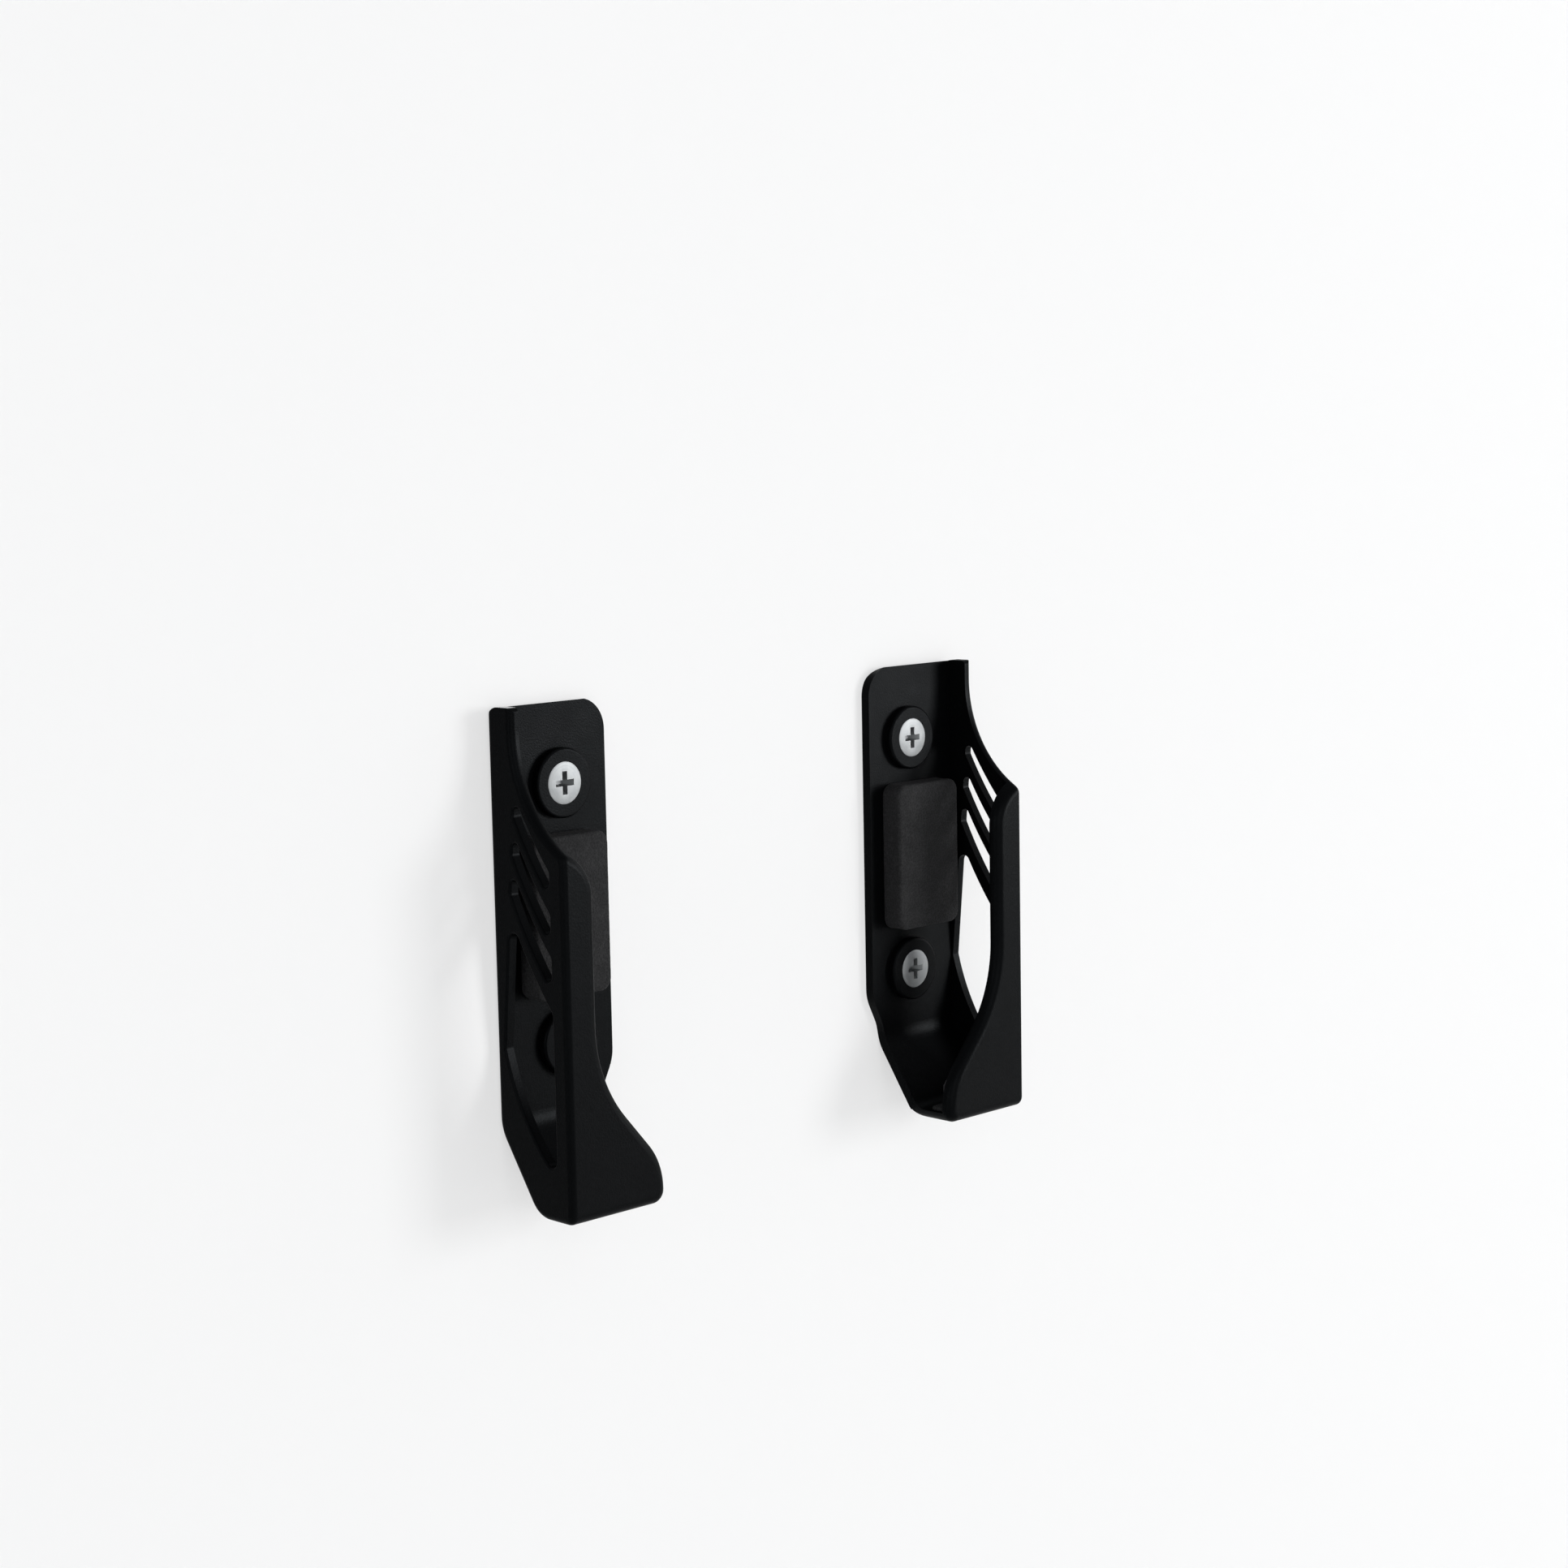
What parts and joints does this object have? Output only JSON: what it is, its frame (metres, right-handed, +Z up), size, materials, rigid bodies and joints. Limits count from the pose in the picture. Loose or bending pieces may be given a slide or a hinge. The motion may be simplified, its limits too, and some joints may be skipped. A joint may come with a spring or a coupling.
{
  "type": "tablet wall mount",
  "caption": "Mirrored pair of black moulded wall brackets that hold a small tablet by its lower corners, each with slanted side slots, a side window and an S-curved front lip.",
  "frame": {"origin": "middle of the four screw places, on the wall plane", "axes": "+X to the right along the wall, +Y into the wall, +Z up"},
  "size_m": [0.1228, 0.048, 0.092],
  "materials": {
    "bracket_plastic": "satin black moulded plastic with a fine even grain",
    "screw_steel": "zinc plated",
    "anchor_nylon": "matte grey nylon",
    "pad_foam": "closed-cell foam",
    "tape_adhesive": "grey foam tape",
    "lining_felt": "thin black felt"
  },
  "bodies": {
    "root": {"left_bracket": "bracket_plastic", "right_bracket": "bracket_plastic", "left_upper_screw": "screw_steel", "left_lower_screw": "screw_steel", "right_upper_screw": "screw_steel", "right_lower_screw": "screw_steel", "left_upper_anchor": "anchor_nylon", "left_lower_anchor": "anchor_nylon", "right_upper_anchor": "anchor_nylon", "right_lower_anchor": "anchor_nylon", "left_wall_tape": "tape_adhesive", "right_wall_tape": "tape_adhesive", "left_back_pad": "pad_foam", "right_back_pad": "pad_foam", "left_ledge_pad": "pad_foam", "right_ledge_pad": "pad_foam", "left_lip_pad": "lining_felt", "right_lip_pad": "lining_felt"}
  },
  "joints": []
}
